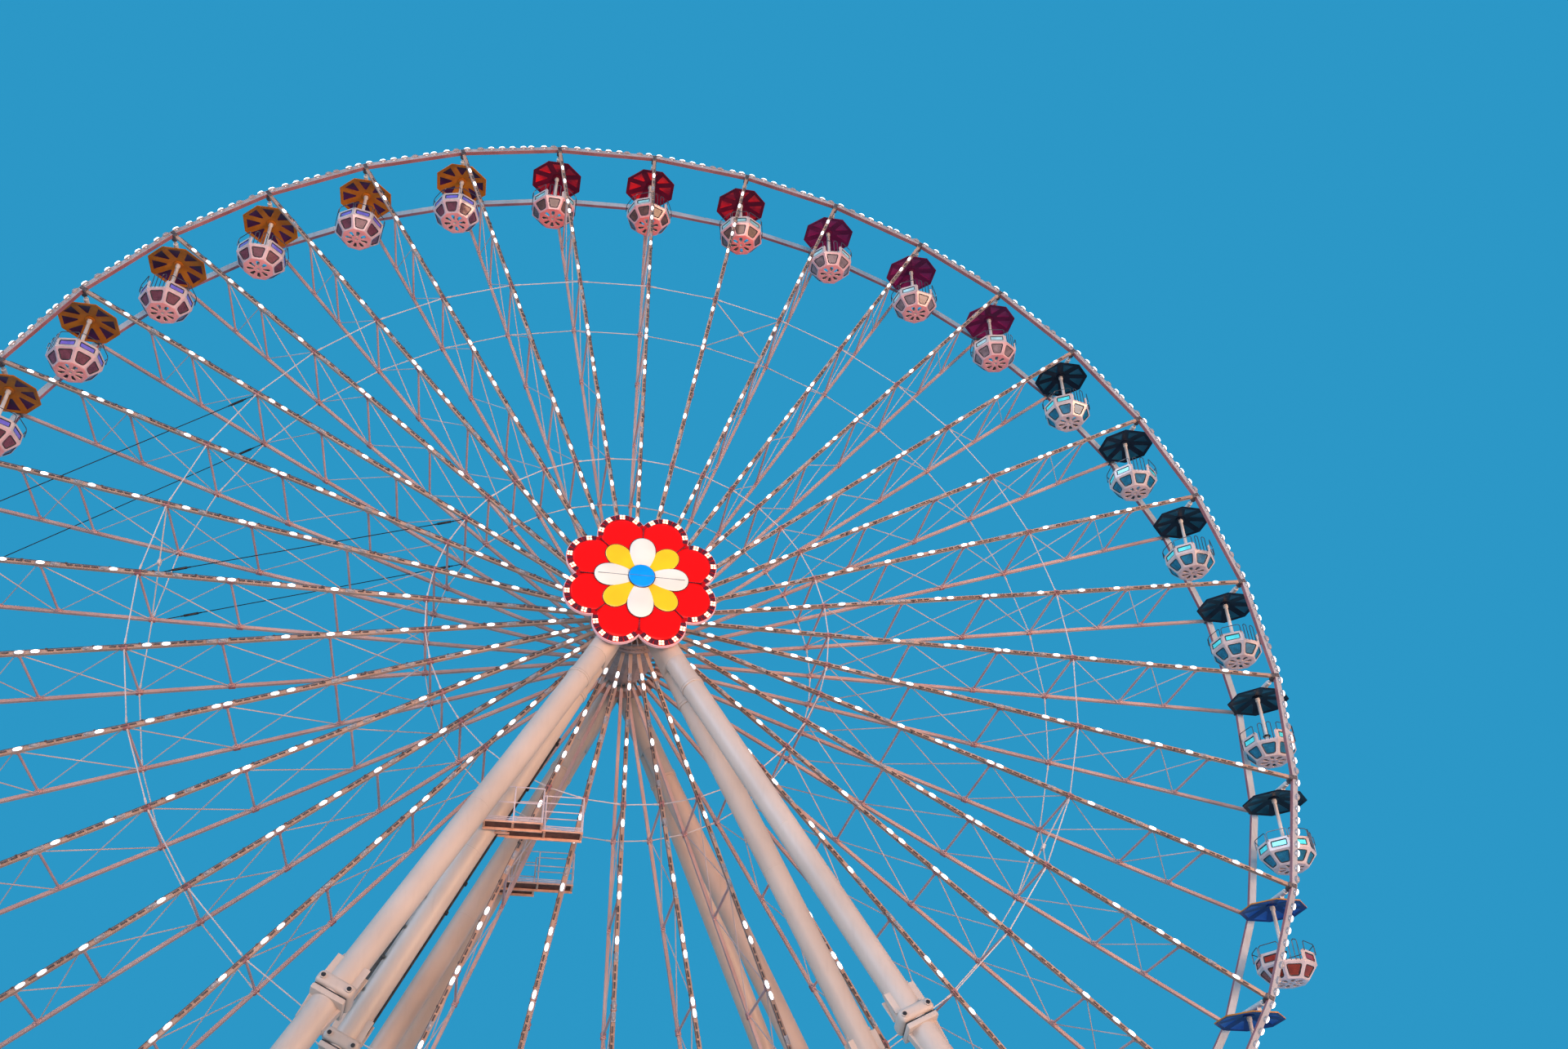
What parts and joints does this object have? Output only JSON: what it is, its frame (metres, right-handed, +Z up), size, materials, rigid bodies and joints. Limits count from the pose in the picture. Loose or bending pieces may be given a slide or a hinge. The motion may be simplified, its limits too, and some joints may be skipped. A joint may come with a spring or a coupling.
{
  "type": "ferris wheel with 36 open gondolas, 1:2 scale model",
  "caption": "Open-frame ferris wheel on eight tube legs, with octagonal gondolas that stay level and a flower light sign on the hub.",
  "frame": {"origin": "on the ground, straight below the middle of the hub", "axes": "+Z up, +Y along the wheel's axle towards the rear, +X to the right as seen from the front"},
  "size_m": [23.4756, 11.138, 24.707],
  "materials": {
    "cream_steel": "satin",
    "white_steel": "satin",
    "grey_steel": "satin",
    "galvanised_steel": "matt",
    "machined_steel": "satin",
    "gondola_amber": "gloss",
    "gondola_crimson": "gloss",
    "gondola_maroon": "gloss",
    "gondola_teal": "gloss",
    "gondola_plum": "gloss",
    "gondola_blue": "gloss",
    "gondola_cream": "gloss",
    "sign_red": "gloss",
    "sign_white": "gloss",
    "sign_pink": "gloss",
    "sign_yellow": "gloss",
    "sign_blue": "gloss",
    "lamp_white": "gloss",
    "window_glass": "gloss",
    "dark_rubber": "matt",
    "dark_cable": "matt"
  },
  "bodies": {
    "frame": {"head_front": "cream_steel", "head_rear": "cream_steel", "leg_front_left_outer": "cream_steel", "leg_front_left_inner": "cream_steel", "leg_front_right_outer": "cream_steel", "leg_front_right_inner": "cream_steel", "leg_rear_left_outer": "cream_steel", "leg_rear_left_inner": "cream_steel", "leg_rear_right_outer": "cream_steel", "leg_rear_right_inner": "cream_steel", "rosette": "sign_red", "daisy": "sign_white", "platform_front": "galvanised_steel", "platform_rear": "galvanised_steel"},
    "wheel": {"rim_front": "grey_steel", "rim_rear": "grey_steel", "spokes_front": "white_steel", "spokes_rear": "white_steel", "truss_webs_1": "white_steel", "truss_webs_2": "white_steel", "truss_webs_3": "white_steel", "truss_webs_4": "white_steel", "hub_drum": "white_steel", "axle": "machined_steel"},
    "gondola_01_body": {"gondola_01": "gondola_crimson"},
    "gondola_02_body": {"gondola_02": "gondola_crimson"},
    "gondola_03_body": {"gondola_03": "gondola_crimson"},
    "gondola_04_body": {"gondola_04": "gondola_crimson"},
    "gondola_05_body": {"gondola_05": "gondola_crimson"},
    "gondola_06_body": {"gondola_06": "gondola_teal"},
    "gondola_07_body": {"gondola_07": "gondola_teal"},
    "gondola_08_body": {"gondola_08": "gondola_teal"},
    "gondola_09_body": {"gondola_09": "gondola_teal"},
    "gondola_10_body": {"gondola_10": "gondola_teal"},
    "gondola_11_body": {"gondola_11": "gondola_teal"},
    "gondola_12_body": {"gondola_12": "gondola_blue"},
    "gondola_13_body": {"gondola_13": "gondola_blue"},
    "gondola_14_body": {"gondola_14": "gondola_blue"},
    "gondola_15_body": {"gondola_15": "gondola_blue"},
    "gondola_16_body": {"gondola_16": "gondola_blue"},
    "gondola_17_body": {"gondola_17": "gondola_blue"},
    "gondola_18_body": {"gondola_18": "gondola_maroon"},
    "gondola_19_body": {"gondola_19": "gondola_maroon"},
    "gondola_20_body": {"gondola_20": "gondola_maroon"},
    "gondola_21_body": {"gondola_21": "gondola_maroon"},
    "gondola_22_body": {"gondola_22": "gondola_maroon"},
    "gondola_23_body": {"gondola_23": "gondola_maroon"},
    "gondola_24_body": {"gondola_24": "gondola_plum"},
    "gondola_25_body": {"gondola_25": "gondola_plum"},
    "gondola_26_body": {"gondola_26": "gondola_plum"},
    "gondola_27_body": {"gondola_27": "gondola_plum"},
    "gondola_28_body": {"gondola_28": "gondola_plum"},
    "gondola_29_body": {"gondola_29": "gondola_plum"},
    "gondola_30_body": {"gondola_30": "gondola_amber"},
    "gondola_31_body": {"gondola_31": "gondola_amber"},
    "gondola_32_body": {"gondola_32": "gondola_amber"},
    "gondola_33_body": {"gondola_33": "gondola_amber"},
    "gondola_34_body": {"gondola_34": "gondola_amber"},
    "gondola_35_body": {"gondola_35": "gondola_amber"},
    "gondola_36_body": {"gondola_36": "gondola_crimson"}
  },
  "joints": [
    {"name": "wheel_spin", "type": "hinge", "parent": "frame", "child": "wheel", "pos_m": [0, 0, 13.39], "axis": [0, 1, 0], "continuous": true},
    {"name": "gondola_01_hang", "type": "hinge", "parent": "wheel", "child": "gondola_01_body", "pos_m": [0, 0, 24.64], "axis": [0, 1, 0], "continuous": true},
    {"name": "gondola_02_hang", "type": "hinge", "parent": "wheel", "child": "gondola_02_body", "pos_m": [1.95354, 0, 24.46909], "axis": [0, 1, 0], "continuous": true},
    {"name": "gondola_03_hang", "type": "hinge", "parent": "wheel", "child": "gondola_03_body", "pos_m": [3.84773, 0, 23.96154], "axis": [0, 1, 0], "continuous": true},
    {"name": "gondola_04_hang", "type": "hinge", "parent": "wheel", "child": "gondola_04_body", "pos_m": [5.625, 0, 23.13279], "axis": [0, 1, 0], "continuous": true},
    {"name": "gondola_05_hang", "type": "hinge", "parent": "wheel", "child": "gondola_05_body", "pos_m": [7.23136, 0, 22.008], "axis": [0, 1, 0], "continuous": true},
    {"name": "gondola_06_hang", "type": "hinge", "parent": "wheel", "child": "gondola_06_body", "pos_m": [8.618, 0, 20.62136], "axis": [0, 1, 0], "continuous": true},
    {"name": "gondola_07_hang", "type": "hinge", "parent": "wheel", "child": "gondola_07_body", "pos_m": [9.74279, 0, 19.015], "axis": [0, 1, 0], "continuous": true},
    {"name": "gondola_08_hang", "type": "hinge", "parent": "wheel", "child": "gondola_08_body", "pos_m": [10.57154, 0, 17.23773], "axis": [0, 1, 0], "continuous": true},
    {"name": "gondola_09_hang", "type": "hinge", "parent": "wheel", "child": "gondola_09_body", "pos_m": [11.07909, 0, 15.34354], "axis": [0, 1, 0], "continuous": true},
    {"name": "gondola_10_hang", "type": "hinge", "parent": "wheel", "child": "gondola_10_body", "pos_m": [11.25, 0, 13.39], "axis": [0, 1, 0], "continuous": true},
    {"name": "gondola_11_hang", "type": "hinge", "parent": "wheel", "child": "gondola_11_body", "pos_m": [11.07909, 0, 11.43646], "axis": [0, 1, 0], "continuous": true},
    {"name": "gondola_12_hang", "type": "hinge", "parent": "wheel", "child": "gondola_12_body", "pos_m": [10.57154, 0, 9.54227], "axis": [0, 1, 0], "continuous": true},
    {"name": "gondola_13_hang", "type": "hinge", "parent": "wheel", "child": "gondola_13_body", "pos_m": [9.74279, 0, 7.765], "axis": [0, 1, 0], "continuous": true},
    {"name": "gondola_14_hang", "type": "hinge", "parent": "wheel", "child": "gondola_14_body", "pos_m": [8.618, 0, 6.15864], "axis": [0, 1, 0], "continuous": true},
    {"name": "gondola_15_hang", "type": "hinge", "parent": "wheel", "child": "gondola_15_body", "pos_m": [7.23136, 0, 4.772], "axis": [0, 1, 0], "continuous": true},
    {"name": "gondola_16_hang", "type": "hinge", "parent": "wheel", "child": "gondola_16_body", "pos_m": [5.625, 0, 3.64721], "axis": [0, 1, 0], "continuous": true},
    {"name": "gondola_17_hang", "type": "hinge", "parent": "wheel", "child": "gondola_17_body", "pos_m": [3.84773, 0, 2.81846], "axis": [0, 1, 0], "continuous": true},
    {"name": "gondola_18_hang", "type": "hinge", "parent": "wheel", "child": "gondola_18_body", "pos_m": [1.95354, 0, 2.31091], "axis": [0, 1, 0], "continuous": true},
    {"name": "gondola_19_hang", "type": "hinge", "parent": "wheel", "child": "gondola_19_body", "pos_m": [0, 0, 2.14], "axis": [0, 1, 0], "continuous": true},
    {"name": "gondola_20_hang", "type": "hinge", "parent": "wheel", "child": "gondola_20_body", "pos_m": [-1.95354, 0, 2.31091], "axis": [0, 1, 0], "continuous": true},
    {"name": "gondola_21_hang", "type": "hinge", "parent": "wheel", "child": "gondola_21_body", "pos_m": [-3.84773, 0, 2.81846], "axis": [0, 1, 0], "continuous": true},
    {"name": "gondola_22_hang", "type": "hinge", "parent": "wheel", "child": "gondola_22_body", "pos_m": [-5.625, 0, 3.64721], "axis": [0, 1, 0], "continuous": true},
    {"name": "gondola_23_hang", "type": "hinge", "parent": "wheel", "child": "gondola_23_body", "pos_m": [-7.23136, 0, 4.772], "axis": [0, 1, 0], "continuous": true},
    {"name": "gondola_24_hang", "type": "hinge", "parent": "wheel", "child": "gondola_24_body", "pos_m": [-8.618, 0, 6.15864], "axis": [0, 1, 0], "continuous": true},
    {"name": "gondola_25_hang", "type": "hinge", "parent": "wheel", "child": "gondola_25_body", "pos_m": [-9.74279, 0, 7.765], "axis": [0, 1, 0], "continuous": true},
    {"name": "gondola_26_hang", "type": "hinge", "parent": "wheel", "child": "gondola_26_body", "pos_m": [-10.57154, 0, 9.54227], "axis": [0, 1, 0], "continuous": true},
    {"name": "gondola_27_hang", "type": "hinge", "parent": "wheel", "child": "gondola_27_body", "pos_m": [-11.07909, 0, 11.43646], "axis": [0, 1, 0], "continuous": true},
    {"name": "gondola_28_hang", "type": "hinge", "parent": "wheel", "child": "gondola_28_body", "pos_m": [-11.25, 0, 13.39], "axis": [0, 1, 0], "continuous": true},
    {"name": "gondola_29_hang", "type": "hinge", "parent": "wheel", "child": "gondola_29_body", "pos_m": [-11.07909, 0, 15.34354], "axis": [0, 1, 0], "continuous": true},
    {"name": "gondola_30_hang", "type": "hinge", "parent": "wheel", "child": "gondola_30_body", "pos_m": [-10.57154, 0, 17.23773], "axis": [0, 1, 0], "continuous": true},
    {"name": "gondola_31_hang", "type": "hinge", "parent": "wheel", "child": "gondola_31_body", "pos_m": [-9.74279, 0, 19.015], "axis": [0, 1, 0], "continuous": true},
    {"name": "gondola_32_hang", "type": "hinge", "parent": "wheel", "child": "gondola_32_body", "pos_m": [-8.618, 0, 20.62136], "axis": [0, 1, 0], "continuous": true},
    {"name": "gondola_33_hang", "type": "hinge", "parent": "wheel", "child": "gondola_33_body", "pos_m": [-7.23136, 0, 22.008], "axis": [0, 1, 0], "continuous": true},
    {"name": "gondola_34_hang", "type": "hinge", "parent": "wheel", "child": "gondola_34_body", "pos_m": [-5.625, 0, 23.13279], "axis": [0, 1, 0], "continuous": true},
    {"name": "gondola_35_hang", "type": "hinge", "parent": "wheel", "child": "gondola_35_body", "pos_m": [-3.84773, 0, 23.96154], "axis": [0, 1, 0], "continuous": true},
    {"name": "gondola_36_hang", "type": "hinge", "parent": "wheel", "child": "gondola_36_body", "pos_m": [-1.95354, 0, 24.46909], "axis": [0, 1, 0], "continuous": true}
  ],
  "couplings": [
    {"joint": "gondola_01_hang", "follows": "wheel_spin", "ratio": -1},
    {"joint": "gondola_02_hang", "follows": "wheel_spin", "ratio": -1},
    {"joint": "gondola_03_hang", "follows": "wheel_spin", "ratio": -1},
    {"joint": "gondola_04_hang", "follows": "wheel_spin", "ratio": -1},
    {"joint": "gondola_05_hang", "follows": "wheel_spin", "ratio": -1},
    {"joint": "gondola_06_hang", "follows": "wheel_spin", "ratio": -1},
    {"joint": "gondola_07_hang", "follows": "wheel_spin", "ratio": -1},
    {"joint": "gondola_08_hang", "follows": "wheel_spin", "ratio": -1},
    {"joint": "gondola_09_hang", "follows": "wheel_spin", "ratio": -1},
    {"joint": "gondola_10_hang", "follows": "wheel_spin", "ratio": -1},
    {"joint": "gondola_11_hang", "follows": "wheel_spin", "ratio": -1},
    {"joint": "gondola_12_hang", "follows": "wheel_spin", "ratio": -1},
    {"joint": "gondola_13_hang", "follows": "wheel_spin", "ratio": -1},
    {"joint": "gondola_14_hang", "follows": "wheel_spin", "ratio": -1},
    {"joint": "gondola_15_hang", "follows": "wheel_spin", "ratio": -1},
    {"joint": "gondola_16_hang", "follows": "wheel_spin", "ratio": -1},
    {"joint": "gondola_17_hang", "follows": "wheel_spin", "ratio": -1},
    {"joint": "gondola_18_hang", "follows": "wheel_spin", "ratio": -1},
    {"joint": "gondola_19_hang", "follows": "wheel_spin", "ratio": -1},
    {"joint": "gondola_20_hang", "follows": "wheel_spin", "ratio": -1},
    {"joint": "gondola_21_hang", "follows": "wheel_spin", "ratio": -1},
    {"joint": "gondola_22_hang", "follows": "wheel_spin", "ratio": -1},
    {"joint": "gondola_23_hang", "follows": "wheel_spin", "ratio": -1},
    {"joint": "gondola_24_hang", "follows": "wheel_spin", "ratio": -1},
    {"joint": "gondola_25_hang", "follows": "wheel_spin", "ratio": -1},
    {"joint": "gondola_26_hang", "follows": "wheel_spin", "ratio": -1},
    {"joint": "gondola_27_hang", "follows": "wheel_spin", "ratio": -1},
    {"joint": "gondola_28_hang", "follows": "wheel_spin", "ratio": -1},
    {"joint": "gondola_29_hang", "follows": "wheel_spin", "ratio": -1},
    {"joint": "gondola_30_hang", "follows": "wheel_spin", "ratio": -1},
    {"joint": "gondola_31_hang", "follows": "wheel_spin", "ratio": -1},
    {"joint": "gondola_32_hang", "follows": "wheel_spin", "ratio": -1},
    {"joint": "gondola_33_hang", "follows": "wheel_spin", "ratio": -1},
    {"joint": "gondola_34_hang", "follows": "wheel_spin", "ratio": -1},
    {"joint": "gondola_35_hang", "follows": "wheel_spin", "ratio": -1},
    {"joint": "gondola_36_hang", "follows": "wheel_spin", "ratio": -1}
  ]
}
